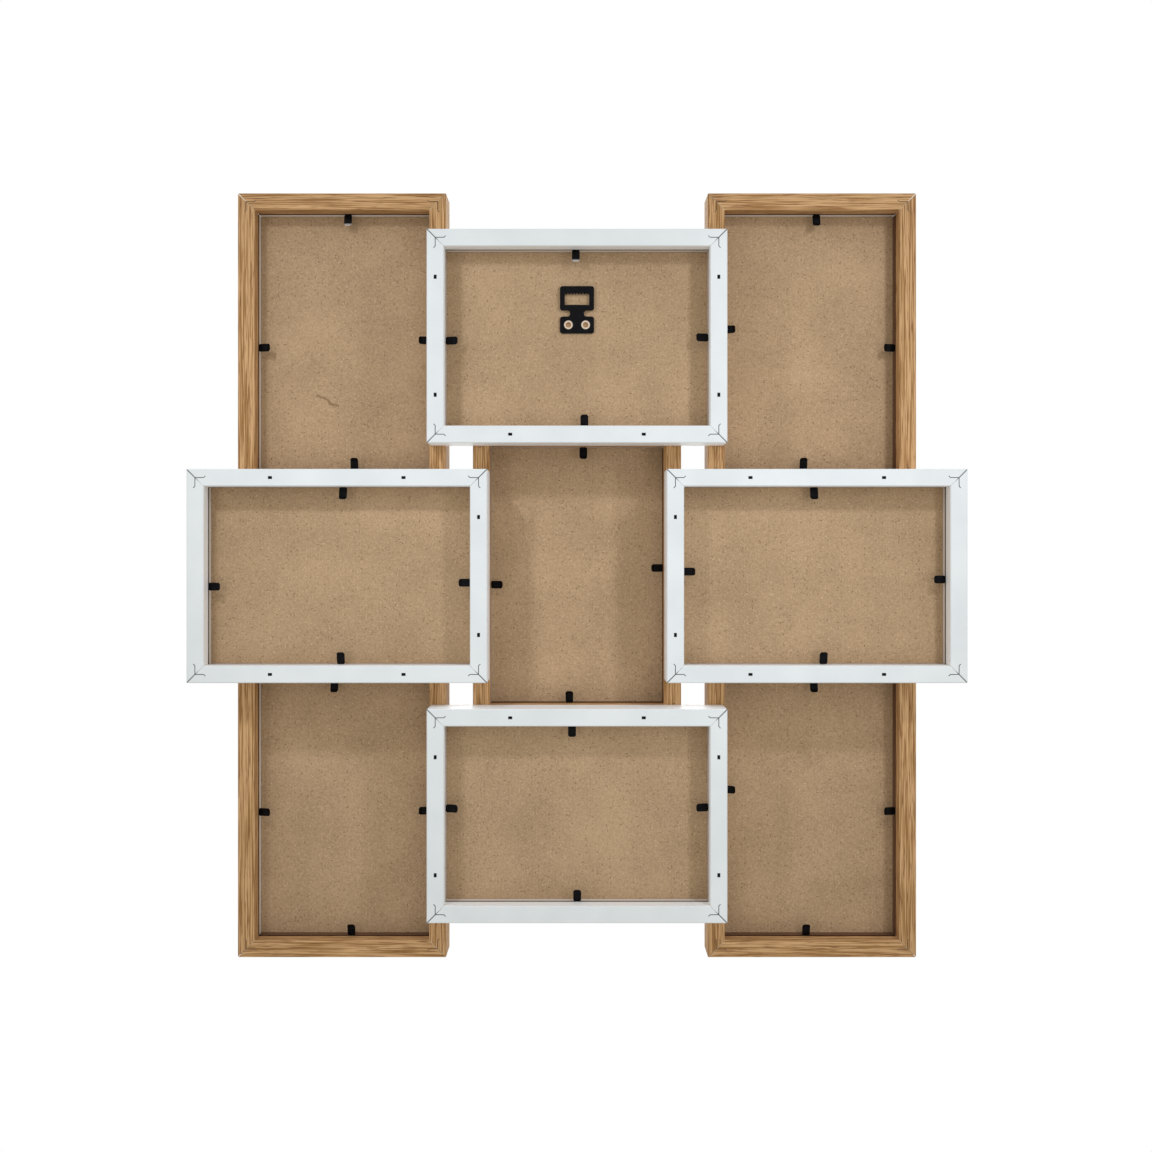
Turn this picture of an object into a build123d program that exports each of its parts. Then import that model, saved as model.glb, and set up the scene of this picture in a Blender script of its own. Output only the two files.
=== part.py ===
from build123d import *
from math import radians, tan
import os

# Collage of nine small picture frames, five upright oak ones in front and four level white ones behind.
# Millimetres. +Z is up, the fronts face -Y and the backs face +Y, towards the wall at y = 0.
# The origin is on the wall, straight behind the middle notch of the hanger.
# Left and right in the names are as seen from behind, so left is towards +X.

# Print and the sheets that are cut to its size
print_long = 152.0
print_short = 102.0
sheet_play = 0.75
board_play = 0.1
pane_thickness = 0.8
insert_thickness = 0.3
board_thickness = 2.0
board_edge_bevel = 0.15

# Moulding
rail_width = 10.0
frame_depth = 20.0
lip_thickness = 2.2
lip_reach = 4.5
edge_bevel = 0.5
slot_height = 2.0
slot_depth = 4.0
slot_drop = 9.5
mitre_opening = 0.45

# How much further out the four corner frames sit than where the white rails would cover their rails
corner_shift_across = 0.9
corner_shift_up = 1.3

# V-nail across each mitre
v_nail_leg = 5.0
v_nail_lip = 1.0
v_nail_thickness = 0.45
v_nail_length = 7.0
v_nail_sunk = 0.3

# Brads through the white rails into the oak rails
brad_head_long = 2.0
brad_head_wide = 1.3
brad_head_thickness = 0.6
brad_shank_long = 1.25
brad_shank_wide = 1.0
brad_sunk = 1.0
brad_bite = 8.0
brad_hole_play = 0.2
brad_spread_upright = 68.0
brad_spread_level = 77.0

# Flexible tabs
tab_width = 4.6
tab_thickness = 0.4
tab_reach = 7.1
tab_lift = 12.0
tab_toe = 1.6
tab_toe_flare = 20.0
tab_toe_corner = 0.8
tab_root_corner = 0.6
tab_root_radius = 0.45
tab_root_gap = 0.1
tab_axis_out = 0.6
tab_shank_length = 3.4
tab_barb_length = 1.4
tab_barb_play = 0.1

# How far each tab was pushed in off the middle of its rail:
# to the right on the top and bottom rails, upwards on the left and right rails
tab_offsets = {
    "upper_left": {"top": 2.0, "bottom": 5.8, "left": -3.4, "right": 1.0},
    "upper_right": {"top": 4.3, "bottom": -3.5, "left": 7.6, "right": -3.5},
    "centre": {"top": 3.8, "bottom": -4.6, "left": -5.8, "right": 4.2},
    "lower_left": {"top": -6.2, "bottom": 4.0, "left": -2.5, "right": -1.6},
    "lower_right": {"top": 2.8, "bottom": -1.9, "left": 11.0, "right": -1.9},
    "top": {"top": -0.7, "bottom": 4.3, "left": -1.3, "right": 0.6},
    "left": {"top": 1.9, "bottom": 0.6, "left": -6.4, "right": -4.1},
    "right": {"top": -0.1, "bottom": 5.4, "left": 2.4, "right": -2.2},
    "bottom": {"top": -2.9, "bottom": 0.1, "left": 2.6, "right": 3.2},
}

# Sawtooth hanger, measured from the notches that the nail sits in
hanger_rise = 27.7
hanger_thickness = 1.0
hanger_step = 0.8
ring_width = 20.0
ring_height = 14.2
ring_top_bar = 3.7
window_width = 14.4
window_height = 7.3
tooth_count = 8
tooth_height = 1.2
neck_width = 8.2
neck_height = 3.5
neck_round = 1.4
round_share = 0.45
plate_height = 9.9
hanger_corner = 1.5

# Tubular rivets of the hanger
rivet_spacing = 10.1
rivet_rim_radius = 2.7
rivet_rim_height = 0.5
rivet_rim_bevel = 0.25
rivet_barrel_radius = 2.0
rivet_bore_radius = 1.6
rivet_hole_play = 0.1
rivet_floor = 0.4

# Worked out sizes
opening_long = print_long + 2 * sheet_play
opening_short = print_short + 2 * sheet_play
outer_long = opening_long + 2 * rail_width
outer_short = opening_short + 2 * rail_width
section_width = rail_width + lip_reach
lip_back = frame_depth - lip_thickness
insert_front = lip_back - pane_thickness
board_front = insert_front - insert_thickness
board_back = board_front - board_thickness
frame_pitch = (outer_long + outer_short) / 2 - rail_width
whole_width = 2 * frame_pitch + outer_long
whole_height = 2 * (frame_pitch + corner_shift_up) + outer_long

# The nine places by column and row from the centre; left is column 1, because left is towards +X.
# The places whose column and row add up to an even number are the upright oak frames in front.
places = {
    "upper_left": (1, 1),
    "upper_right": (-1, 1),
    "centre": (0, 0),
    "lower_left": (1, -1),
    "lower_right": (-1, -1),
    "top": (0, 1),
    "left": (1, 0),
    "right": (-1, 0),
    "bottom": (0, -1),
}
sides = {"top": (0, 1), "bottom": (0, -1), "left": (1, 0), "right": (-1, 0)}
rearward = Vector(0, 1, 0)


def is_oak(place):
    column, row = places[place]
    return (column + row) % 2 == 0


def node_name(place):
    return ("oak_frame_" if is_oak(place) else "white_frame_") + place


def frame_centre(place):
    """Centre of a frame in the plane of its own rear faces."""
    column, row = places[place]
    back = -frame_depth if is_oak(place) else 0.0
    across = column * (frame_pitch + abs(row) * corner_shift_across)
    upward = row * (frame_pitch + abs(column) * corner_shift_up)
    return Vector(across, back, upward - frame_pitch - hanger_rise)


def outer_size(place):
    return (outer_short, outer_long) if is_oak(place) else (outer_long, outer_short)


def rail_plane(place, side):
    """Plane at the middle of a rail's outer rear edge: x inwards, y rearwards, z along the rail."""
    across, upward = sides[side]
    width, height = outer_size(place)
    edge = Vector(across * width / 2, 0, upward * height / 2)
    inward = Vector(-across, 0, -upward)
    return Plane(frame_centre(place) + edge, x_dir=inward, z_dir=inward.cross(rearward))


def rail_length(place, side):
    width, height = outer_size(place)
    return width if sides[side][0] == 0 else height


# Mitred rails

def v_nail_outline():
    """Rear view of a V-nail, from the outer corner with x along one rail and y along the other."""
    middle = rail_width / 2
    leg_end = middle + v_nail_leg
    path = Polyline(
        (leg_end + v_nail_lip, middle - v_nail_lip),
        (leg_end, middle),
        (middle, middle),
        (middle, leg_end),
        (middle - v_nail_lip, leg_end + v_nail_lip),
    )
    return trace(path, v_nail_thickness)


def moulding_section():
    """Section of the moulding: x inwards from the outer face, y rearwards from the rear face."""
    slot_back = -slot_drop + slot_height / 2
    slot_front = -slot_drop - slot_height / 2
    outline = Polyline(
        (0, 0),
        (rail_width, 0),
        (rail_width, slot_back),
        (rail_width - slot_depth, slot_back),
        (rail_width - slot_depth, slot_front),
        (rail_width, slot_front),
        (rail_width, -lip_back),
        (section_width, -lip_back),
        (section_width, -frame_depth),
        (0, -frame_depth),
        close=True,
    )
    face = make_face(outline)
    wrapped = [(0, 0), (rail_width, 0), (section_width, -frame_depth), (0, -frame_depth)]
    corners = [face.vertices().sort_by_distance(Vector(*corner))[0] for corner in wrapped]
    return chamfer(corners, edge_bevel)


def mitred_rail(length):
    """A rail at its own plane, cut at both ends so that the mitre gapes a little at the outer corner."""
    half = length / 2
    relief = mitre_opening / 2
    blank = extrude(moulding_section(), half, both=True)
    plan = make_face(Polyline(
        (half - relief, 0),
        (half - section_width, section_width),
        (section_width - half, section_width),
        (relief - half, 0),
        close=True,
    ))
    plan_plane = Plane((0, 0, 0), x_dir=(0, 0, 1), z_dir=(0, 1, 0))
    rail = blank & extrude(plan_plane * plan, -frame_depth)
    nail_slot = extrude(v_nail_outline(), -(v_nail_sunk + v_nail_length))
    lower_end = Plane((0, 0, -half), x_dir=(0, 0, 1), z_dir=(0, 1, 0))
    upper_end = Plane((0, 0, half), x_dir=(1, 0, 0), z_dir=(0, 1, 0))
    return rail - lower_end * nail_slot - upper_end * nail_slot


# Fasteners

def corner_planes(place):
    """One plane at each outer corner of a frame, with x and y running in along the two rails."""
    centre = frame_centre(place)
    width, height = outer_size(place)
    for across in (1, -1):
        for upward in (1, -1):
            corner = centre + Vector(across * width / 2, 0, upward * height / 2)
            inward = (0, 0, -upward) if across == upward else (-across, 0, 0)
            yield Plane(corner, x_dir=inward, z_dir=rearward)


def v_nail():
    return Pos(0, 0, -v_nail_sunk) * extrude(v_nail_outline(), -v_nail_length)


# A brad stands at a rail's own plane, in the middle of the rail's width
brad_axis = Plane((rail_width / 2, 0, 0), x_dir=(0, 0, 1), z_dir=(0, 1, 0))


def brad():
    head = extrude(Rectangle(brad_head_long, brad_head_wide), -brad_head_thickness)
    shank = extrude(Rectangle(brad_shank_long, brad_shank_wide), -(frame_depth + brad_bite - brad_sunk))
    return brad_axis * Pos(0, 0, -brad_sunk) * (head + shank)


def brad_mouth():
    """The oblong hole that the driver leaves above a sunk brad head."""
    mouth = Rectangle(brad_head_long + 2 * brad_hole_play, brad_head_wide + 2 * brad_hole_play)
    return brad_axis * extrude(mouth, -(brad_sunk + brad_head_thickness))


def brad_offsets(side):
    spread = brad_spread_level if sides[side][0] == 0 else brad_spread_upright
    return (-spread / 2, spread / 2)


def neighbour(place, side):
    """The frame whose rail lies against this side, if there is one."""
    column, row = places[place]
    across, upward = sides[side]
    found = [name for name, at in places.items() if at == (column + across, row + upward)]
    return found[0] if found else None


# Flexible tabs, drawn with the bend axis as origin: x inwards, y rearwards

tab_run = tab_reach - tab_toe - tab_axis_out
tab_rise = tab_run * tan(radians(tab_lift))
tab_toe_rise = tab_toe * tan(radians(tab_lift + tab_toe_flare))


def tab_plan():
    """Rear view of a blade, from the bend axis with y along it: the corners are cut off at toe and root."""
    half = tab_width / 2
    tip = tab_run + tab_toe
    spare = tab_thickness
    toe_half = half - tab_toe_corner - spare
    root_half = half - tab_root_corner - spare
    outline = Polyline(
        (tab_root_corner - tab_root_radius, half),
        (tip - tab_toe_corner, half),
        (tip + spare, toe_half),
        (tip + spare, -toe_half),
        (tip - tab_toe_corner, -half),
        (tab_root_corner - tab_root_radius, -half),
        (-tab_root_radius - spare, -root_half),
        (-tab_root_radius - spare, root_half),
        close=True,
    )
    return make_face(outline)


def tab_blade():
    """The part of a tab that bends: a root rounded about the bend axis, a lifted blade and a flared toe."""
    path = Polyline((0, 0), (tab_run, tab_rise), (tab_run + tab_toe, tab_rise + tab_toe_rise))
    root = Circle(tab_root_radius) & Rectangle(2 * tab_root_radius, tab_thickness)
    profile = trace(path, tab_thickness) + Rot(0, 0, tab_lift) * root
    blade = extrude(profile, tab_width / 2, both=True)
    return blade & extrude(Plane.XZ * tab_plan(), tab_reach, both=True)


def tab_shank():
    """The part of a tab that stays in the slot, with a barbed end that grips it."""
    mouth = -tab_root_radius - tab_root_gap
    tip = -tab_axis_out - tab_shank_length
    barb = tip + tab_barb_length
    half = tab_thickness / 2
    grip = slot_height / 2 - tab_barb_play
    outline = Polyline(
        (mouth, half),
        (barb, half),
        (barb, grip),
        (tip, 0),
        (barb, -grip),
        (barb, -half),
        (mouth, -half),
        close=True,
    )
    return extrude(make_face(outline), tab_width / 2, both=True)


def tab_plane(place, side):
    """A tab's bend axis on its rail, with z along the axis."""
    at_rail = rail_plane(place, side)
    offset = tab_offsets[place][side]
    shift = Vector(-offset, 0, 0) if sides[side][0] == 0 else Vector(0, 0, offset)
    out = at_rail.x_dir * (rail_width + tab_axis_out)
    axis_point = at_rail.origin + out + shift - rearward * slot_drop
    return Plane(axis_point, x_dir=at_rail.x_dir, z_dir=at_rail.z_dir)


# Sheets in each frame: pane, insert and board, drawn upright or level with the frame

def sheet(place, front, thickness, play=sheet_play):
    """A sheet with this play in the frame, whose front face is at this depth from the frame's rear faces."""
    long_side = opening_long - 2 * play
    short_side = opening_short - 2 * play
    width, height = (short_side, long_side) if is_oak(place) else (long_side, short_side)
    middle = frame_centre(place) - rearward * (front - thickness / 2)
    return Pos(middle) * Box(width, thickness, height)


def board(place):
    plain = sheet(place, board_front, board_thickness, board_play)
    return chamfer(plain.faces().sort_by(Axis.Y)[-1].edges(), board_edge_bevel)


# Hanger on the board of the top frame, drawn in its own plane with x to the right as seen from behind.
# Its ring and plate are stamped from one strip, so the plate is as wide as the ring.

seen_from_behind = Plane((0, -board_back, 0), x_dir=(-1, 0, 0), z_dir=(0, 1, 0))
plate_width = ring_width
ring_bottom = ring_top_bar - ring_height
plate_top = ring_bottom - neck_height
plate_middle = plate_top - plate_height / 2
plate_bottom = plate_top - plate_height
rivet_places = [(-rivet_spacing / 2, plate_middle), (rivet_spacing / 2, plate_middle)]


def hanger_outline():
    ring = Pos(0, ring_top_bar - ring_height / 2) * RectangleRounded(ring_width, ring_height, hanger_corner)
    plate = Pos(0, plate_middle) * RectangleRounded(plate_width, plate_height, hanger_corner)
    neck = Pos(0, ring_bottom - neck_height / 2) * Rectangle(neck_width, neck_height)
    blank = ring + neck + plate
    at_neck = [v for v in blank.vertices() if abs(abs(v.X) - neck_width / 2) < hanger_corner / 2]
    blank = fillet(at_neck, min(neck_round, neck_height * round_share))
    half_tooth = window_width / tooth_count / 2
    teeth = [(k * half_tooth, -tooth_height * (k % 2)) for k in range(-tooth_count, tooth_count + 1)]
    sill = [(window_width / 2, -window_height), (-window_width / 2, -window_height)]
    window = make_face(Polyline(*teeth, *sill, close=True))
    holes = [Pos(*at) * Circle(rivet_barrel_radius + rivet_hole_play) for at in rivet_places]
    return blank - window - holes


def hanger_strip():
    """Side view of the hanger: the plate lies on the board and the ring is stepped off it at the neck."""
    strip = Polyline(
        (0, plate_bottom),
        (hanger_thickness, plate_bottom),
        (hanger_thickness, plate_top),
        (hanger_thickness + hanger_step, ring_bottom),
        (hanger_thickness + hanger_step, ring_top_bar),
        (hanger_step, ring_top_bar),
        (hanger_step, ring_bottom),
        (0, plate_top),
        close=True,
    )
    side_plane = Plane((0, -board_back, 0), x_dir=(0, 1, 0), z_dir=(1, 0, 0))
    return extrude(side_plane * make_face(strip), ring_width, both=True)


def hanger():
    cut_out = extrude(seen_from_behind * hanger_outline(), hanger_thickness + hanger_step)
    return cut_out & hanger_strip()


def rivet():
    """A tubular rivet at the board's rear face, with its rim on the plate and its barrel in the board."""
    foot = -(board_thickness - rivet_floor)
    rim_top = hanger_thickness + rivet_rim_height
    outline = Polyline(
        (rivet_bore_radius, foot),
        (rivet_barrel_radius, foot),
        (rivet_barrel_radius, hanger_thickness),
        (rivet_rim_radius, hanger_thickness),
        (rivet_rim_radius, rim_top),
        (rivet_bore_radius, rim_top),
        close=True,
    )
    profile = make_face(outline)
    rim_edge = profile.vertices().sort_by(Axis.Y)[-2:]
    profile = chamfer(rim_edge, rivet_rim_bevel)
    return revolve(Plane.XZ * profile, Axis.Z)


def rivet_groove():
    """The ring that a rivet's barrel cuts in the board, which leaves a plug of board in its bore."""
    ring = Circle(rivet_barrel_radius) - Circle(rivet_bore_radius)
    return extrude(ring, -(board_thickness - rivet_floor))


# Build every node

def frame_rails(place, brads_in_oak):
    plain_rails = {length: mitred_rail(length) for length in (outer_long, outer_short)}
    rails = []
    for side in sides:
        rail = rail_plane(place, side).location * plain_rails[rail_length(place, side)]
        if not is_oak(place) and neighbour(place, side):
            for offset in brad_offsets(side):
                at_brad = rail_plane(place, side).location * Pos(0, 0, offset)
                rail = rail - at_brad * brad() - at_brad * brad_mouth()
        if is_oak(place):
            for driven in brads_in_oak[place].get(side, []):
                rail = rail - driven
        rails.append(rail)
    return rails


opposite = {"top": "bottom", "bottom": "top", "left": "right", "right": "left"}
brads_in_oak = {place: {} for place in places if is_oak(place)}
for place in places:
    for side in sides:
        oak = neighbour(place, side)
        if not is_oak(place) and oak:
            at_rail = rail_plane(place, side).location
            driven = [at_rail * Pos(0, 0, offset) * brad() for offset in brad_offsets(side)]
            brads_in_oak[oak][opposite[side]] = driven

nodes = {node_name(place): frame_rails(place, brads_in_oak) for place in places}
nodes["corner_v_nails"] = [at.location * v_nail() for place in places for at in corner_planes(place)]
brad_pairs = [pair for by_side in brads_in_oak.values() for pair in by_side.values()]
nodes["joining_brads"] = [one for pair in brad_pairs for one in pair]

for place in places:
    for side in sides:
        nodes[f"tab_{place}_{side}"] = [tab_plane(place, side).location * tab_blade()]
nodes["tab_shanks"] = [tab_plane(place, side).location * tab_shank() for place in places for side in sides]

oak_places = [place for place in places if is_oak(place)]
white_places = [place for place in places if not is_oak(place)]
nodes["oak_frame_panes"] = [sheet(place, lip_back, pane_thickness) for place in oak_places]
nodes["white_frame_panes"] = [sheet(place, lip_back, pane_thickness) for place in white_places]
nodes["oak_frame_inserts"] = [sheet(place, insert_front, insert_thickness) for place in oak_places]
nodes["white_frame_inserts"] = [sheet(place, insert_front, insert_thickness) for place in white_places]

rivet_spots = [seen_from_behind.location * Pos(*at) for at in rivet_places]
hanger_board = board("top")
for spot in rivet_spots:
    hanger_board = hanger_board - spot * rivet_groove()
nodes["oak_frame_boards"] = [board(place) for place in oak_places]
nodes["white_frame_boards"] = [board(place) for place in white_places if place != "top"]
nodes["hanger_board"] = [hanger_board]
nodes["sawtooth_hanger"] = [hanger()]
nodes["hanger_rivets"] = [spot * rivet() for spot in rivet_spots]

os.makedirs("parts", exist_ok=True)
for name, pieces in nodes.items():
    solids = [solid for piece in pieces for solid in piece.solids()]
    export_step(Compound(children=solids) if len(solids) > 1 else solids[0], f"parts/{name}.step")
print(len(nodes), "nodes,", whole_width, "wide,", whole_height, "high")
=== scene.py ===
import math

import bmesh
import bpy
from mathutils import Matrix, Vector


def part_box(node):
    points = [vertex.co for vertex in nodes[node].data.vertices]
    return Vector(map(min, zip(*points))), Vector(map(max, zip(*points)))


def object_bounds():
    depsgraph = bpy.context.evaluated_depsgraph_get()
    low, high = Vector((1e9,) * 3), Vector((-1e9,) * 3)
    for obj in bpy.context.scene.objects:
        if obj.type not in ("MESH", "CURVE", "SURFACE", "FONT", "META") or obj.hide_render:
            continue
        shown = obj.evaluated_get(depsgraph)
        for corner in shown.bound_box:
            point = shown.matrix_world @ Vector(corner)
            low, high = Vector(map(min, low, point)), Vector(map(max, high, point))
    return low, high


# Collage of nine small picture frames, seen from behind: five oak ones in front and four white ones
# nearer the wall. Metres. +Z is up, the pictures face -Y, the wall is at y = 0, and left as seen from
# behind is +X.

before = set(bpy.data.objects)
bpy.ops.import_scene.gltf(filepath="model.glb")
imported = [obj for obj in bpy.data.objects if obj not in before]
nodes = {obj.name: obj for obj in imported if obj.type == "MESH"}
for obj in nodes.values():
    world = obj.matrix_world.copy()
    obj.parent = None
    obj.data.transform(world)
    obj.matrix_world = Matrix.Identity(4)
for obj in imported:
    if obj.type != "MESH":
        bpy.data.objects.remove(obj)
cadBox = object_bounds()
objectCentre = (cadBox[0] + cadBox[1]) / 2
millimetre = 0.001
print("frame loaded,", len(nodes), "pieces")


def linearColor(hexCode):
    parts = [int(hexCode[start:start + 2], 16) / 255 for start in (1, 3, 5)]
    return [c / 12.92 if c <= 0.04045 else ((c + 0.055) / 1.055) ** 2.4 for c in parts] + [1.0]


# Sockets go by name or by number. A Mix node mixes inputs 2 and 3 for numbers, 4 and 5 for vectors and
# 6 and 7 for colours, and its results are outputs 0, 1 and 2. In a MapRange node 1 and 2 are the ends of
# the range that goes in, and 3 and 4 of the one that comes out
def setSockets(tree, node, values):
    for socket, value in values.items():
        if isinstance(value, bpy.types.Node):
            value = value.outputs[0]  # a node stands for its first output
        if isinstance(value, bpy.types.NodeSocket):
            tree.links.new(value, node.inputs[socket])
        else:
            node.inputs[socket].default_value = value


def addNode(tree, kind, values=None, stops=None, **settings):
    # stops are the (position, hex colour) pairs of a colour ramp
    node = tree.nodes.new("ShaderNode" + kind)
    for name, setting in settings.items():
        setattr(node, name, setting)
    setSockets(tree, node, values or {})
    for index, (position, hexCode) in enumerate(stops or []):
        ramp = node.color_ramp.elements
        element = ramp[index] if index < 2 else ramp.new(position)
        element.position = position
        element.color = linearColor(hexCode)
    return node


def newMaterial(name):
    material = bpy.data.materials.new(name)
    material.use_nodes = True
    tree = material.node_tree
    tree.nodes.clear()
    shader = addNode(tree, "BsdfPrincipled")
    addNode(tree, "OutputMaterial", {"Surface": shader})
    return material, tree, shader


def pointInMillimetres(tree):
    coordinates = addNode(tree, "TexCoord")
    return addNode(tree, "VectorMath", {
        0: coordinates.outputs["Object"], "Scale": 1 / millimetre,
    }, operation="SCALE")


def coverLayers(tree, color, layers):
    # lays one colour after another over the first, each where its mask is
    for mask, layer in layers:
        cover = addNode(tree, "Mix", {0: mask, 6: color, 7: linearColor(layer)}, data_type="RGBA")
        color = cover.outputs[2]
    return color


def finishSurface(tree, shader, look, color, wear, relief=None):
    # the roughness follows one noise and the dents follow another
    smooth, rough = look["roughness"]
    values = {"Base Color": color, "Specular IOR Level": look["specular"]}
    values["Roughness"] = addNode(tree, "MapRange", {0: wear, 3: smooth, 4: rough})
    if relief:
        values["Normal"] = addNode(tree, "Bump", {
            "Height": relief, "Strength": look["bump"], "Distance": look["bumpDepth"] * millimetre,
        })
    setSockets(tree, shader, values)


def dress(material, names):
    for name in names:
        slots = nodes[name].data.materials
        slots.clear()
        slots.append(material)


# Where a point lies on its moulding, for both foils
moulding = {
    "railWidth": 10.0,  # mm, across a rail to the rebate
    "slotTop": 8.5,  # mm in from the rear face
    "slotHeight": 2.0,
    "slotDepth": 4.0,
    "lipBack": 17.8,  # mm in from the rear face
    "tolerance": 0.02,
    "cutFacing": 0.3,  # product of the normal's x and z that only a mitre's cut face reaches
    "sideFacing": 0.5,  # a face with less of its normal along y is a side
    "holeMargin": 1.0,  # mm in from both edges of a rail, past which a side is a hole's
}


def railGuide(tree, size):
    # the frame's box runs from 0 to 1, so its middle is at a half
    place = pointInMillimetres(tree)
    x, y, z = addNode(tree, "SeparateXYZ", {0: place}).outputs
    inBox = addNode(tree, "TexCoord").outputs["Generated"]
    fromCentre = addNode(tree, "VectorMath", {0: inBox, 1: (0.5, 0.5, 0.5)}, operation="SUBTRACT")
    folded = addNode(tree, "VectorMath", {0: fromCentre}, operation="ABSOLUTE")
    inset = addNode(tree, "VectorMath", {
        0: folded, 1: [-side for side in size], 2: [side / 2 for side in size],
    }, operation="MULTIPLY_ADD")
    fromSide, _, fromEnd = addNode(tree, "SeparateXYZ", {0: inset}).outputs
    upright = addNode(tree, "Math", {0: fromSide, 1: fromEnd}, operation="LESS_THAN")
    uprightGrain = addNode(tree, "CombineXYZ", {0: z, 1: x, 2: y})
    levelGrain = addNode(tree, "CombineXYZ", {0: x, 1: z, 2: y})
    grain = addNode(tree, "Mix", {0: upright, 4: levelGrain, 5: uprightGrain}, data_type="VECTOR")
    across = addNode(tree, "Math", {0: fromSide, 1: fromEnd}, operation="MINIMUM")
    difference = addNode(tree, "Math", {0: fromSide, 1: fromEnd}, operation="SUBTRACT")
    fromMitre = addNode(tree, "Math", {0: difference}, operation="ABSOLUTE")
    leftward, rearward, upward = addNode(tree, "SeparateXYZ", {0: fromCentre}).outputs
    outward = addNode(tree, "Mix", {0: upright, 2: upward, 3: leftward}, data_type="FLOAT")
    leftOrTop = addNode(tree, "Math", {0: outward, 1: 0.0}, operation="GREATER_THAN")
    depth = addNode(tree, "Math", {
        0: rearward, 1: -size[1], 2: size[1] / 2,
    }, operation="MULTIPLY_ADD")
    return {
        "place": place, "grain": grain.outputs[1], "across": across, "depth": depth,
        "fromMitre": fromMitre, "leftOrTop": leftOrTop,
    }


def railMasks(tree, guide):
    # each mask is 1 on its faces: the bare strip below the slot, the slot, cut ends, sides and holes
    wall = moulding["railWidth"] - moulding["tolerance"]
    slotFloor = wall - moulding["slotDepth"]
    slotTop = moulding["slotTop"] - moulding["tolerance"]
    slotFoot = moulding["slotTop"] + moulding["slotHeight"] + moulding["tolerance"]
    lipBack = moulding["lipBack"] + moulding["tolerance"]
    halfRail = moulding["railWidth"] / 2
    across = guide["across"]
    depth = guide["depth"]

    onWall = addNode(tree, "Math", {0: across, 1: wall}, operation="GREATER_THAN")
    belowSlot = addNode(tree, "Math", {0: depth, 1: slotFoot}, operation="GREATER_THAN")
    aboveLip = addNode(tree, "Math", {0: depth, 1: lipBack}, operation="LESS_THAN")
    rebate = addNode(tree, "Math", {0: belowSlot, 1: aboveLip}, operation="MULTIPLY")
    bare = addNode(tree, "Math", {0: onWall, 1: rebate}, operation="MULTIPLY")

    pastFloor = addNode(tree, "Math", {0: across, 1: slotFloor}, operation="GREATER_THAN")
    pastTop = addNode(tree, "Math", {0: depth, 1: slotTop}, operation="GREATER_THAN")
    beforeFoot = addNode(tree, "Math", {0: depth, 1: slotFoot}, operation="LESS_THAN")
    atSlot = addNode(tree, "Math", {0: pastTop, 1: beforeFoot}, operation="MULTIPLY")
    slot = addNode(tree, "Math", {0: pastFloor, 1: atSlot}, operation="MULTIPLY")

    normal = addNode(tree, "NewGeometry").outputs["True Normal"]
    normalX, normalY, normalZ = addNode(tree, "SeparateXYZ", {0: normal}).outputs
    slant = addNode(tree, "Math", {0: normalX, 1: normalZ}, operation="MULTIPLY")
    slanted = addNode(tree, "Math", {0: slant}, operation="ABSOLUTE")
    cutEnd = addNode(tree, "Math", {0: slanted, 1: moulding["cutFacing"]}, operation="GREATER_THAN")
    facing = addNode(tree, "Math", {0: normalY}, operation="ABSOLUTE")
    sideways = addNode(tree, "Math", {0: facing, 1: moulding["sideFacing"]}, operation="LESS_THAN")

    offMiddle = addNode(tree, "Math", {0: across, 1: halfRail}, operation="SUBTRACT")
    fromMiddle = addNode(tree, "Math", {0: offMiddle}, operation="ABSOLUTE")
    within = addNode(tree, "Math", {
        0: fromMiddle, 1: halfRail - moulding["holeMargin"],
    }, operation="LESS_THAN")
    pierced = addNode(tree, "Math", {0: sideways, 1: within}, operation="MULTIPLY")
    return {"bare": bare, "slot": slot, "cutEnd": cutEnd, "sideways": sideways, "pierced": pierced}


# Oak woodgrain foil on a wrapped fibreboard moulding: printed paper under a satin lacquer, so the eye gets
# wavering streaks and short dark pores along each rail, and a pale core where it is cut
oakFoil = {
    "deep": "#9A7243",
    "mid": "#B98F60",
    "pale": "#D2A877",
    "toneLevels": (0.36, 0.47, 0.60),  # of the figure's noise, at deep, mid and pale
    "band": {"length": 60.0, "width": 2.6, "detail": 1.0},  # mm
    "bandShare": 0.2,
    "streak": {"length": 30.0, "width": 0.6, "detail": 0.0},
    "waver": 0.3,
    "waverLength": 20.0,
    "pore": "#7A4F2F",
    "poreLine": {"length": 11.0, "width": 0.45, "detail": 1.0},  # drawn as coarse as it needs to show
    "poreLevels": (0.55, 0.72),  # of the pores' noise, where one begins and where it is full
    "poreShare": 0.85,
    "mitreEdge": "#D8B98E",
    "mitreLine": 0.3,  # mm
    "core": "#DDD2C4",
    # the bare strip below the slot is painted dark brown on the right-hand and lower rails, and pale on the
    # others
    "rightLowerCore": "#75553F",  # below the slot of the right-hand and lower rails
    # the tab slot is painted dark, as painted shade inside it
    "paintedSlotShade": "#3A2620",
    "roughness": (0.44, 0.60),
    "specular": 0.07,
    "bump": 0.08,
    "bumpDepth": 0.1,  # mm
}


def grainNoise(tree, grain, cell):
    # noise drawn out along the grain
    scale = [1 / cell["length"], 1 / cell["width"], 1 / cell["width"]]
    spot = addNode(tree, "VectorMath", {0: grain, 1: scale}, operation="MULTIPLY")
    return addNode(tree, "TexNoise", {"Vector": spot, "Scale": 1.0, "Detail": cell["detail"]})


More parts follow.
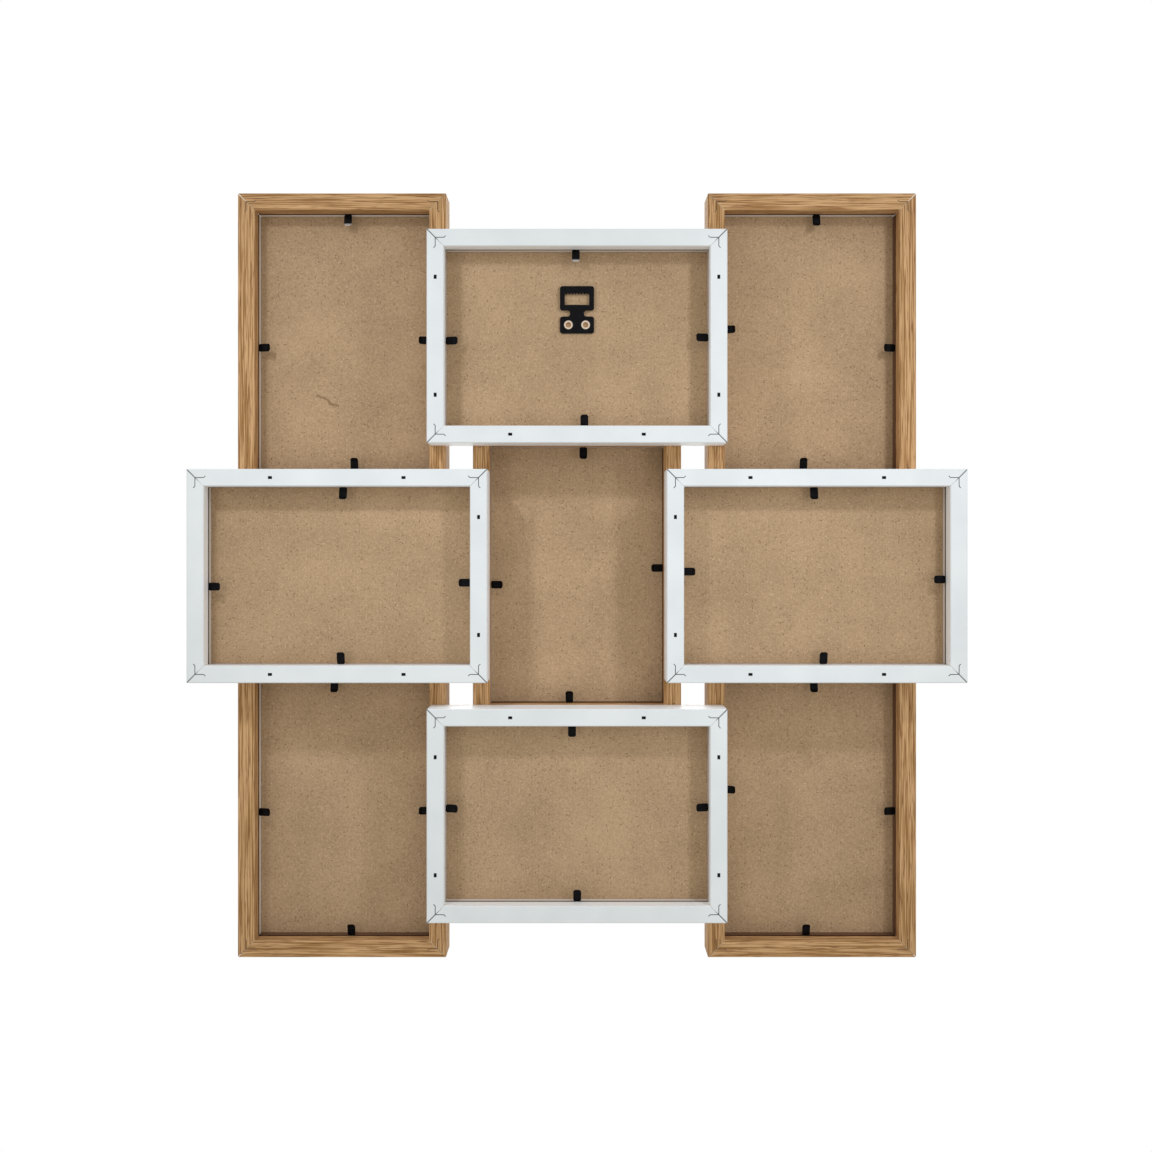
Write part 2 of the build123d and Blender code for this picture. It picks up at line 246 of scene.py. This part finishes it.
def makeOakFoil(size):
    material, tree, shader = newMaterial("oak_woodgrain_foil")
    guide = railGuide(tree, size)
    masks = railMasks(tree, guide)
    along, across, inward = addNode(tree, "SeparateXYZ", {0: guide["grain"]}).outputs
    wander = addNode(tree, "TexNoise", {
        "Vector": guide["place"], "Scale": 1 / oakFoil["waverLength"], "Detail": 1.0,
    })
    shifted = addNode(tree, "Math", {
        0: wander, 1: 2 * oakFoil["waver"], 2: across,
    }, operation="MULTIPLY_ADD")
    grain = addNode(tree, "CombineXYZ", {0: along, 1: shifted, 2: inward})
    streak = grainNoise(tree, grain, oakFoil["streak"])
    band = grainNoise(tree, grain, oakFoil["band"])
    figure = addNode(tree, "Mix", {
        0: oakFoil["bandShare"], 2: streak.outputs[0], 3: band.outputs[0],
    }, data_type="FLOAT")
    tones = (oakFoil["deep"], oakFoil["mid"], oakFoil["pale"])
    figureColor = addNode(tree, "ValToRGB", {0: figure}, stops=zip(oakFoil["toneLevels"], tones))
    pore = grainNoise(tree, grain, oakFoil["poreLine"])
    poreStart, poreFull = oakFoil["poreLevels"]
    inPore = addNode(tree, "MapRange", {
        0: pore, 1: poreStart, 2: poreFull, 3: 0.0, 4: oakFoil["poreShare"],
    })
    atMitre = addNode(tree, "Math", {
        0: guide["fromMitre"], 1: oakFoil["mitreLine"],
    }, operation="LESS_THAN")
    paleStrip = addNode(tree, "Math", {0: masks["bare"], 1: guide["leftOrTop"]}, operation="MULTIPLY")
    color = coverLayers(tree, figureColor, [
        (inPore, oakFoil["pore"]), (atMitre, oakFoil["mitreEdge"]), (masks["cutEnd"], oakFoil["core"]),
        (masks["bare"], oakFoil["rightLowerCore"]), (paleStrip, oakFoil["core"]),
        (masks["slot"], oakFoil["paintedSlotShade"]),
    ])
    finishSurface(tree, shader, oakFoil, color, wear=streak, relief=pore)
    return material


# White foil on the same moulding: smooth bluish white film, satin, faintly uneven where it was rolled on, so
# the eye gets an even pale rail, with its sides painted whiter as painted light, the core bare below the
# slot, painted shade in the slot and the nail holes, and dirt and painted shade in the open end of each
# mitre
whiteFoil = {
    "shade": "#E2E6E2",
    "film": "#E9ECE8",
    "toneLevels": (0.35, 0.65),  # of the rolling's noise, at shade and film
    "rollSize": 30.0,  # mm
    # sides and inner walls are painted whiter than the rear faces, as painted light
    "paintedLightSides": "#FAFBF8",
    # the open end of each mitre is painted dark, as dirt and as painted shade in the gap
    "mitreDirtAndShade": "#3F4346",
    "mitreLine": 0.75,
    "mitreShare": 0.9,
    "mitreDarkReach": 4.6,  # mm in from the outer edge
    "mitreDarkEnd": 7.0,
    # the walls of the nail holes are painted near black, as painted shade
    "paintedHoleShade": "#2A2926",
    "core": "#DDD2C4",
    # the tab slot is painted dark, as painted shade inside it
    "paintedSlotShade": "#6A665E",
    "grainSize": 1.2,  # mm
    "roughness": (0.33, 0.46),
    "specular": 0.3,
    "bump": 0.05,
    "bumpDepth": 0.1,  # mm
}


def makeWhiteFoil(size):
    material, tree, shader = newMaterial("white_furniture_foil")
    guide = railGuide(tree, size)
    masks = railMasks(tree, guide)
    roll = addNode(tree, "TexNoise", {
        "Vector": guide["place"], "Scale": 1 / whiteFoil["rollSize"], "Detail": 3.0,
    })
    tones = (whiteFoil["shade"], whiteFoil["film"])
    film = addNode(tree, "ValToRGB", {0: roll}, stops=zip(whiteFoil["toneLevels"], tones))
    fading = addNode(tree, "MapRange", {
        0: guide["across"], 1: whiteFoil["mitreDarkReach"], 2: whiteFoil["mitreDarkEnd"],
        3: whiteFoil["mitreShare"], 4: 0.0,
    })
    atMitre = addNode(tree, "MapRange", {
        0: guide["fromMitre"], 1: 0.0, 2: whiteFoil["mitreLine"], 3: 1.0, 4: 0.0,
    })
    mitreDark = addNode(tree, "Math", {0: atMitre, 1: fading}, operation="MULTIPLY")
    cutDark = addNode(tree, "Math", {0: masks["cutEnd"], 1: fading}, operation="MULTIPLY")
    uncut = addNode(tree, "Math", {0: 1.0, 1: masks["cutEnd"]}, operation="SUBTRACT")
    hole = addNode(tree, "Math", {0: masks["pierced"], 1: uncut}, operation="MULTIPLY")
    color = coverLayers(tree, film, [
        (masks["sideways"], whiteFoil["paintedLightSides"]),
        (mitreDark, whiteFoil["mitreDirtAndShade"]), (cutDark, whiteFoil["mitreDirtAndShade"]),
        (hole, whiteFoil["paintedHoleShade"]), (masks["bare"], whiteFoil["core"]),
        (masks["slot"], whiteFoil["paintedSlotShade"]),
    ])
    grit = addNode(tree, "TexNoise", {
        "Vector": guide["place"], "Scale": 1 / whiteFoil["grainSize"], "Detail": 2.0,
    })
    finishSurface(tree, shader, whiteFoil, color, wear=grit, relief=grit)
    return material


def millimetreSize(name):
    low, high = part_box(name)
    return [(b - a) / millimetre for a, b in zip(low, high)]


oakPlaces = ["upper_left", "upper_right", "centre", "lower_left", "lower_right"]
oakFrames = ["oak_frame_" + place for place in oakPlaces]
whiteFrames = ["white_frame_" + place for place in ("top", "left", "right", "bottom")]
dress(makeOakFoil(millimetreSize("oak_frame_centre")), oakFrames)
dress(makeWhiteFoil(millimetreSize("white_frame_top")), whiteFrames)
print("mouldings dressed:", len(oakFrames), "oak,", len(whiteFrames), "white")

# Hardboard backing: pressed brown wood fibre, matt, so the eye gets short dark slivers, pale specks and
# a slow drift of tone
hardboard = {
    "cool": "#A48866",
    "warm": "#C0A17C",
    "toneLevels": (0.35, 0.65),  # of the drift and the mottle together, at cool and warm
    "driftSize": 38.0,  # mm
    "mottleSize": 0.9,
    "mottleShare": 0.6,
    "darkSliver": "#765A3B",
    "paleSpeck": "#D8BD99",
    # cell, length and width in mm
    "sliver": {"cell": 2.0, "length": 1.6, "width": 0.55, "share": 0.5, "strength": 0.75, "seed": 0.0},
    "speck": {"cell": 1.7, "length": 1.0, "width": 0.6, "share": 0.45, "strength": 0.6, "seed": 7.3},
    "sliverSizes": (0.6, 1.1),  # times the length and width given
    "sliverEdge": (-0.1, 0.25),  # in half widths inside its outline, where it begins and where it is full
    "faintest": 0.25,  # times the strength given
    "rarity": 3.0,  # the more, the fewer strong ones
    "scuff": {  # a dent in the upper left board, in mm from the middle of the whole frame, left and up
        "color": "#86694A", "width": 1.1, "fullWidth": 0.33, "waver": 1.0, "share": 0.8,
        "strokes": [
            ((157.0, 108.2), (152.0, 106.6)),
            ((152.0, 106.6), (147.6, 102.6)),
            ((149.6, 103.6), (144.4, 102.2)),
        ],
    },
    "roughness": (0.88, 0.72),
    "specular": 0.2,
    "bump": 0.15,
    "bumpDepth": 0.1,  # mm
}


def scatteredSlivers(tree, spot, look):
    # one short sliver in some of the cells, turned and sized at random; the mask is 1 on a sliver
    cells = addNode(tree, "VectorMath", {
        0: spot, 1: [1 / look["cell"]] * 3, 2: (look["seed"], look["seed"], 0.0),
    }, operation="MULTIPLY_ADD")
    chip = addNode(tree, "TexVoronoi", {"Vector": cells, "Scale": 1.0}, voronoi_dimensions="2D")
    chance, turn, size = addNode(tree, "SeparateXYZ", {0: chip.outputs["Color"]}).outputs
    offset = addNode(tree, "VectorMath", {0: cells, 1: chip.outputs["Position"]}, operation="SUBTRACT")
    angle = addNode(tree, "Math", {0: turn, 1: math.tau}, operation="MULTIPLY")
    turned = addNode(tree, "VectorRotate", {"Vector": offset, "Angle": angle}, rotation_type="Z_AXIS")
    toOutline = [2 * look["cell"] / look["length"], 2 * look["cell"] / look["width"], 0.0]
    shaped = addNode(tree, "VectorMath", {0: turned, 1: toOutline}, operation="MULTIPLY")
    reach = addNode(tree, "VectorMath", {0: shaped}, operation="LENGTH").outputs["Value"]
    smallest, largest = hardboard["sliverSizes"]
    outline = addNode(tree, "MapRange", {0: size, 3: smallest, 4: largest})
    inside = addNode(tree, "Math", {0: outline, 1: reach}, operation="SUBTRACT")
    edgeStart, edgeFull = hardboard["sliverEdge"]
    shape = addNode(tree, "MapRange", {0: inside, 1: edgeStart, 2: edgeFull})
    chosen = addNode(tree, "Math", {0: chance, 1: look["share"]}, operation="LESS_THAN")
    rare = addNode(tree, "Math", {0: size, 1: hardboard["rarity"]}, operation="POWER")
    strength = addNode(tree, "MapRange", {
        0: rare, 3: hardboard["faintest"] * look["strength"], 4: look["strength"],
    })
    present = addNode(tree, "Math", {0: chosen, 1: strength}, operation="MULTIPLY")
    return addNode(tree, "Math", {0: shape, 1: present}, operation="MULTIPLY")


def scuffMask(tree, spot, look):
    # distance to the nearest of a few short strokes, roughened by noise
    middleUp = objectCentre.z / millimetre
    nearest = None
    for (startLeft, startUp), (endLeft, endUp) in look["strokes"]:
        start = Vector((startLeft, startUp + middleUp, 0.0))
        run = Vector((endLeft - startLeft, endUp - startUp, 0.0))
        away = addNode(tree, "VectorMath", {0: spot, 1: start}, operation="SUBTRACT")
        along = addNode(tree, "VectorMath", {
            0: away, 1: run / run.length_squared,
        }, operation="DOT_PRODUCT").outputs["Value"]
        held = addNode(tree, "Clamp", {0: along})
        foot = addNode(tree, "VectorMath", {0: run, "Scale": held}, operation="SCALE")
        gap = addNode(tree, "VectorMath", {0: away, 1: foot}, operation="DISTANCE").outputs["Value"]
        nearest = addNode(tree, "Math", {0: gap, 1: nearest}, operation="MINIMUM") if nearest else gap
    noise = addNode(tree, "TexNoise", {"Vector": spot, "Scale": 1 / look["width"], "Detail": 2.0})
    ragged = addNode(tree, "Math", {
        0: noise, 1: -2 * look["waver"], 2: nearest,
    }, operation="MULTIPLY_ADD")
    return addNode(tree, "MapRange", {
        0: ragged, 1: look["width"] - look["waver"], 2: look["fullWidth"] - look["waver"],
        3: 0.0, 4: look["share"],
    })


def makeHardboard():
    material, tree, shader = newMaterial("pressed_hardboard")
    place = pointInMillimetres(tree)
    x, _, z = addNode(tree, "SeparateXYZ", {0: place}).outputs
    spot = addNode(tree, "CombineXYZ", {0: x, 1: z})
    drift = addNode(tree, "TexNoise", {
        "Vector": place, "Scale": 1 / hardboard["driftSize"], "Detail": 2.0,
    })
    fibre = addNode(tree, "TexNoise", {
        "Vector": place, "Scale": 1 / hardboard["mottleSize"], "Detail": 2.0,
    })
    mixed = addNode(tree, "Mix", {
        0: hardboard["mottleShare"], 2: drift.outputs[0], 3: fibre.outputs[0],
    }, data_type="FLOAT")
    tones = (hardboard["cool"], hardboard["warm"])
    tone = addNode(tree, "ValToRGB", {0: mixed}, stops=zip(hardboard["toneLevels"], tones))
    color = coverLayers(tree, tone, [
        (scatteredSlivers(tree, spot, hardboard["speck"]), hardboard["paleSpeck"]),
        (scatteredSlivers(tree, spot, hardboard["sliver"]), hardboard["darkSliver"]),
        (scuffMask(tree, spot, hardboard["scuff"]), hardboard["scuff"]["color"]),
    ])
    finishSurface(tree, shader, hardboard, color, wear=fibre, relief=fibre)
    return material


dress(makeHardboard(), ["oak_frame_boards", "white_frame_boards", "hanger_board"])
print("boards dressed")

wearLevels = (0.35, 0.75)  # of the wear's noise, where a metal's coat is whole and where it is worn

# Black lacquered spring steel: thin satin lacquer, so near black with a soft glint on bent edges
blackSteel = {
    "whole": "#0A0A0B",
    "worn": "#121214",
    "wearSize": 2.5,  # mm
    "roughness": (0.30, 0.46),
    "specular": 0.07,
}

# The same with a painted highlight: the toe of a tab that points down is painted pale, as the glint of the
# lamps above
toeGlintSteel = {
    **blackSteel,
    "toe": "#D9D4CC",
    "toeShare": 0.24,  # of the tab's height
    "tabs": ["tab_top_top", "tab_upper_left_top"],
}

# Drawn steel strip of the V-nails: dull grey under the finish that was rubbed over the frames, so it shades
# as a coating and not as bright metal, and it is browned in the oak ones
nailStrip = {
    "whole": "#4A4E50",
    "worn": "#6C7072",
    "brownWhole": "#64492F",
    "brownWorn": "#7E6144",
    "oakMargin": 1.0,  # mm behind the oak frames, short of the white frames' nails
    "wearSize": 1.0,
    "roughness": (0.39, 0.55),
    "specular": 0.3,
}

# Oxidised steel brads, fired in below the surface, so only a head shows at the foot of its hole; it is
# painted near black, partly as oxide and partly as painted shade in the hole
bradSteel = {
    "whole": "#131312",
    "worn": "#1E1D1C",
    "wearSize": 0.8,  # mm
    "roughness": (0.49, 0.65),
    "specular": 0.1,
}

# Plated rivets: pale brass-toned plating, matt, so a soft cream ring, tanned inside the bore by tarnish and
# painted shade, and dark round the rim by grime and painted shade
rivetPlate = {
    "whole": "#D6C8B0",
    "worn": "#E4D8C4",
    "tarnishAndShade": "#E6CBAC",
    "rimGrimeAndShade": "#39342D",  # round the rim, where it meets the plate
    "rimDarkShare": 0.9,
    "boreRadius": 1.6,  # mm
    "rimDarkFrom": 2.25,
    "rimRadius": 2.7,
    "wearSize": 1.2,
    "roughness": (0.44, 0.60),
    "specular": 0.3,
}


def brownInOak(tree, look, place, wear, color):
    tones = (look["brownWhole"], look["brownWorn"])
    brown = addNode(tree, "ValToRGB", {0: wear}, stops=zip(wearLevels, tones))
    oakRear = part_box("oak_frame_centre")[1].y / millimetre
    y = addNode(tree, "SeparateXYZ", {0: place}).outputs[1]
    inOak = addNode(tree, "Math", {0: y, 1: oakRear + look["oakMargin"]}, operation="LESS_THAN")
    return addNode(tree, "Mix", {0: inOak, 6: color, 7: brown}, data_type="RGBA").outputs[2]


def tarnishAndShadeRivets(tree, look, place, color):
    # the two rivets are folded onto one, so that one radius serves both
    low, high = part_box("hanger_rivets")
    centre = (low + high) / 2 / millimetre
    axisOut = (high.x - low.x) / 2 / millimetre - look["rimRadius"]
    offset = addNode(tree, "VectorMath", {0: place, 1: centre}, operation="SUBTRACT")
    folded = addNode(tree, "VectorMath", {0: offset}, operation="ABSOLUTE")
    fromAxis = addNode(tree, "VectorMath", {0: folded, 1: (axisOut, 0.0, 0.0)}, operation="SUBTRACT")
    flat = addNode(tree, "VectorMath", {0: fromAxis, 1: (1.0, 0.0, 1.0)}, operation="MULTIPLY")
    radius = addNode(tree, "VectorMath", {0: flat}, operation="LENGTH").outputs["Value"]
    # tan inside the bore and dark round the rim, each partly tarnish or grime and partly painted shade
    inBore = addNode(tree, "MapRange", {
        0: radius, 1: look["boreRadius"], 2: look["rimRadius"], 3: 1.0, 4: 0.0,
    })
    atRim = addNode(tree, "MapRange", {
        0: radius, 1: look["rimDarkFrom"], 2: look["rimRadius"], 3: 0.0, 4: look["rimDarkShare"],
    })
    return coverLayers(tree, color, [(inBore, look["tarnishAndShade"]), (atRim, look["rimGrimeAndShade"])])


def paintToeGlint(tree, look, color):
    inBox = addNode(tree, "TexCoord").outputs["Generated"]
    height = addNode(tree, "SeparateXYZ", {0: inBox}).outputs[2]
    # the lower end of the tab is painted pale, as a painted glint
    atToe = addNode(tree, "MapRange", {0: height, 1: look["toeShare"], 2: 0.0, 3: 0.0, 4: 1.0})
    return coverLayers(tree, color, [(atToe, look["toe"])])


def makeWornMetal(name, look):
    material, tree, shader = newMaterial(name)
    place = pointInMillimetres(tree)
    wear = addNode(tree, "TexNoise", {"Vector": place, "Scale": 1 / look["wearSize"], "Detail": 3.0})
    color = addNode(tree, "ValToRGB", {0: wear}, stops=zip(wearLevels, (look["whole"], look["worn"])))
    if "brownWorn" in look:
        color = brownInOak(tree, look, place, wear, color)
    if "tarnishAndShade" in look:
        color = tarnishAndShadeRivets(tree, look, place, color)
    if "toe" in look:
        color = paintToeGlint(tree, look, color)
    finishSurface(tree, shader, look, color, wear=wear)
    return material


tabs = [name for name in nodes if name.startswith("tab_") and name != "tab_shanks"]
dress(makeWornMetal("black_lacquered_steel", blackSteel), tabs + ["tab_shanks", "sawtooth_hanger"])
dress(makeWornMetal("lacquered_steel_painted_glint", toeGlintSteel), toeGlintSteel["tabs"])
dress(makeWornMetal("drawn_steel_strip", nailStrip), ["corner_v_nails"])
dress(makeWornMetal("oxidised_steel_and_shade", bradSteel), ["joining_brads"])
dress(makeWornMetal("plated_rivet", rivetPlate), ["hanger_rivets"])
print("steel pieces dressed:", len(tabs), "tabs")

# Clear polystyrene sheet: extruded, polished, faintly rippled; thin, so light and sight go straight through
clearSheet = {
    "tint": "#EEF3F4",
    "cover": 0.16,  # share of the light that the sheet itself sends back
    "air": 0.04,  # mm between the sheet and the paper, so that they don't share a face
    "rippleSize": 60.0,  # mm
    "bump": 0.02,
    "bumpDepth": 1.0,  # mm
    "roughness": 0.04,
    "ior": 1.59,
}


def makeClearSheet():
    material, tree, shader = newMaterial("clear_polystyrene")
    ripple = addNode(tree, "TexNoise", {
        "Vector": pointInMillimetres(tree), "Scale": 1 / clearSheet["rippleSize"], "Detail": 1.0,
    })
    wave = addNode(tree, "Bump", {
        "Height": ripple, "Strength": clearSheet["bump"], "Distance": clearSheet["bumpDepth"] * millimetre,
    })
    setSockets(tree, shader, {
        "Base Color": linearColor(clearSheet["tint"]), "Roughness": clearSheet["roughness"],
        "IOR": clearSheet["ior"], "Alpha": clearSheet["cover"], "Normal": wave,
    })
    return material


# Plain white paper insert: uncoated and matt, so the eye gets faint fibre and no shine
paper = {
    "fibre": "#E4E1DA",
    "sheet": "#EFEDE8",
    "toneLevels": (0.3, 0.7),  # of the fibre's noise, at fibre and sheet
    "fibreSize": 2.0,  # mm
    "roughness": 0.9,
    "specular": 0.1,
}


def makePaper():
    material, tree, shader = newMaterial("uncoated_paper")
    fibre = addNode(tree, "TexNoise", {
        "Vector": pointInMillimetres(tree), "Scale": 1 / paper["fibreSize"], "Detail": 4.0,
    })
    tones = (paper["fibre"], paper["sheet"])
    color = addNode(tree, "ValToRGB", {0: fibre}, stops=zip(paper["toneLevels"], tones))
    setSockets(tree, shader, {
        "Base Color": color, "Roughness": paper["roughness"], "Specular IOR Level": paper["specular"],
    })
    return material


panes = ["oak_frame_panes", "white_frame_panes"]
dress(makeClearSheet(), panes)
for name in panes:
    shrink = nodes[name].modifiers.new("air", "DISPLACE")
    shrink.strength = -clearSheet["air"] * millimetre
    shrink.mid_level = 0.0
dress(makePaper(), ["oak_frame_inserts", "white_frame_inserts"])
print("panes and inserts dressed")

# Studio: the frame hangs in front of white. Behind it are two small lamps above and two tall strip lamps at
# the sides, as the lengths of the shadows on the boards tell, and a large lamp lights the fronts.
# A rear lamp's place is in m from the middle of the frame: left as seen from behind, back and up. Its aim is
# on the boards of the white frames, left and up, its size is its width and height, and its power is in W.
# The floor is matt white paint, which takes a soft shadow and no shine
studio = {
    "sky": "#FFFFFF",
    "ambient": 0.61,  # strength of the sky as a light, where the one that is seen has 1
    "rearLamps": [
        {"place": (0.265, 0.30, 0.345), "aim": (0.12, -0.02), "size": (0.04, 0.04), "power": 0.127},
        {"place": (-0.295, 0.31, 0.345), "aim": (-0.12, -0.02), "size": (0.04, 0.04), "power": 0.128},
        {"place": (0.31, 0.31, 0.05), "aim": (0.05, 0.0), "size": (0.04, 0.55), "power": 0.065},
        {"place": (-0.32, 0.31, 0.05), "aim": (-0.05, 0.0), "size": (0.04, 0.55), "power": 0.123},
    ],
    "rearColor": (0.95, 1.0, 1.15),
    "rearSpread": 1.5,  # rad
    "frontLamp": {"distance": 1.3, "rise": 0.5, "size": (1.2, 1.2), "power": 6.5},
    "floor": "#F2F2F0",
    "floorDrop": 0.33,  # m below the frame
    "floorRadius": 0.45,
    "floorSides": 96,
    "floorRoughness": 0.9,
    "floorSpecular": 0.1,
}


def addLamp(name, place, target, size, power, color=(1.0, 1.0, 1.0), spread=math.pi):
    light = bpy.data.lights.new(name, "AREA")
    light.energy = power
    light.color = color
    light.shape = "RECTANGLE"
    light.size, light.size_y = size
    light.spread = spread
    lamp = bpy.data.objects.new(name, light)
    lamp.location = place
    lamp.rotation_mode = "QUATERNION"
    lamp.rotation_quaternion = (target - place).to_track_quat("-Z", "Y")
    lamp.visible_camera = False
    bpy.context.scene.collection.objects.link(lamp)


frameMiddle = Vector((0.0, 0.0, objectCentre.z))
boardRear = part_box("white_frame_boards")[1].y
for number, lamp in enumerate(studio["rearLamps"]):
    left, up = lamp["aim"]
    place = frameMiddle + Vector(lamp["place"])
    target = frameMiddle + Vector((left, boardRear, up))
    addLamp(f"rearLamp{number}", place, target, lamp["size"], lamp["power"],
            studio["rearColor"], studio["rearSpread"])
front = studio["frontLamp"]
frontPlace = objectCentre + Vector((0.0, -front["distance"], front["rise"]))
addLamp("frontLamp", frontPlace, objectCentre, front["size"], front["power"])

world = bpy.data.worlds.new("studioWhite")
bpy.context.scene.world = world
world.use_nodes = True
tree = world.node_tree
tree.nodes.clear()
ray = addNode(tree, "LightPath").outputs
seen = addNode(tree, "Math", {0: ray["Is Camera Ray"], 1: ray["Is Glossy Ray"]}, operation="MAXIMUM")
shown = addNode(tree, "Math", {0: seen, 1: ray["Is Transmission Ray"]}, operation="MAXIMUM")
strength = addNode(tree, "MapRange", {0: shown, 3: studio["ambient"], 4: 1.0})
sky = addNode(tree, "Background", {"Color": linearColor(studio["sky"]), "Strength": strength})
addNode(tree, "OutputWorld", {"Surface": sky})

floorMesh = bpy.data.meshes.new("floor")
disc = bmesh.new()
bmesh.ops.create_circle(disc, cap_ends=True, segments=studio["floorSides"], radius=studio["floorRadius"])
disc.to_mesh(floorMesh)
disc.free()
floor = bpy.data.objects.new("floor", floorMesh)
floor.location = (0.0, 0.0, cadBox[0].z - studio["floorDrop"])
bpy.context.scene.collection.objects.link(floor)
floorPaint, tree, shader = newMaterial("matt_white_floor")
setSockets(tree, shader, {
    "Base Color": linearColor(studio["floor"]), "Roughness": studio["floorRoughness"],
    "Specular IOR Level": studio["floorSpecular"],
})
floorMesh.materials.append(floorPaint)
print("studio lit")

# Camera as in the photograph: straight behind, a little above the middle
camera = {
    "distance": 0.70,  # m from the wall plane
    "rise": 0.015,
    "focal": 1214.4,  # pixels of a picture that is pictureSide wide
    "pictureSide": 1152,
    "sensor": 36.0,  # mm
    "middleAt": (577.0, 576.0),  # pixel of the middle of the frame
}
lens = bpy.data.cameras.new("photoCamera")
lens.sensor_width = camera["sensor"]
lens.lens = camera["focal"] / camera["pictureSide"] * camera["sensor"]
axisDrop = camera["rise"] / camera["distance"] * camera["focal"]  # pixels from the axis to the middle
halfSide = camera["pictureSide"] / 2
lens.shift_x = (halfSide - camera["middleAt"][0]) / camera["pictureSide"]
lens.shift_y = (camera["middleAt"][1] - halfSide - axisDrop) / camera["pictureSide"]
photoCamera = bpy.data.objects.new("photoCamera", lens)
photoCamera.location = (objectCentre.x, camera["distance"], objectCentre.z + camera["rise"])
photoCamera.rotation_mode = "QUATERNION"
photoCamera.rotation_quaternion = Vector((0.0, -1.0, 0.0)).to_track_quat("-Z", "Y")
bpy.context.scene.collection.objects.link(photoCamera)
bpy.context.scene.camera = photoCamera
bpy.context.scene.view_settings.view_transform = "Standard"
print("camera placed")
